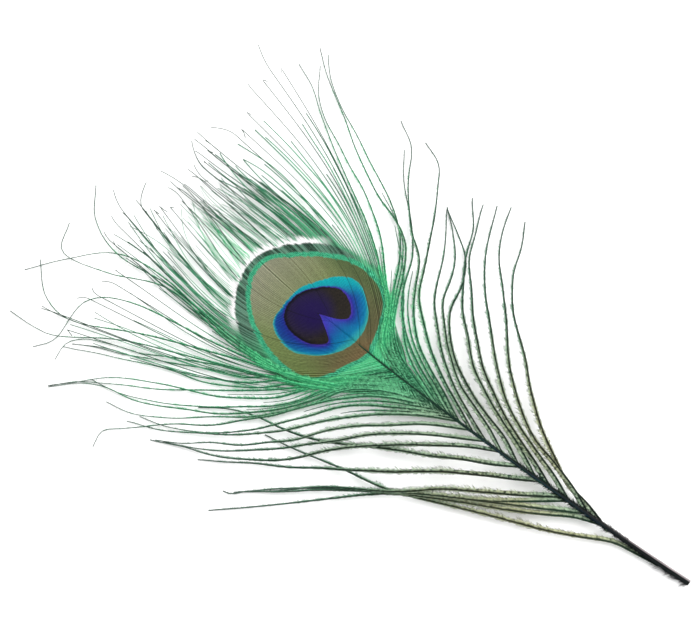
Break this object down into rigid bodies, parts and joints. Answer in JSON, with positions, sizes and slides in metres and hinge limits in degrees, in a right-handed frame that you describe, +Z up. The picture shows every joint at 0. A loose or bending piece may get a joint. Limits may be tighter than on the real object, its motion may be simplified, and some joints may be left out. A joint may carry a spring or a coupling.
{
  "type": "peacock feather",
  "caption": "Peacock eye feather with a short cut shaft, a close vane that carries the eye, and long loose barbs, lying flat.",
  "frame": {"origin": "under the middle of the feather's bounding box, on the surface it lies on", "axes": "+Y along the shaft from its cut end to the crown, +Z up out of the feather's face, +X to the right"},
  "size_m": [0.1568, 0.2412, 0.0063],
  "materials": {
    "keratin": "iridescent satin"
  },
  "bodies": {
    "root": {"feather": "keratin"}
  },
  "joints": []
}
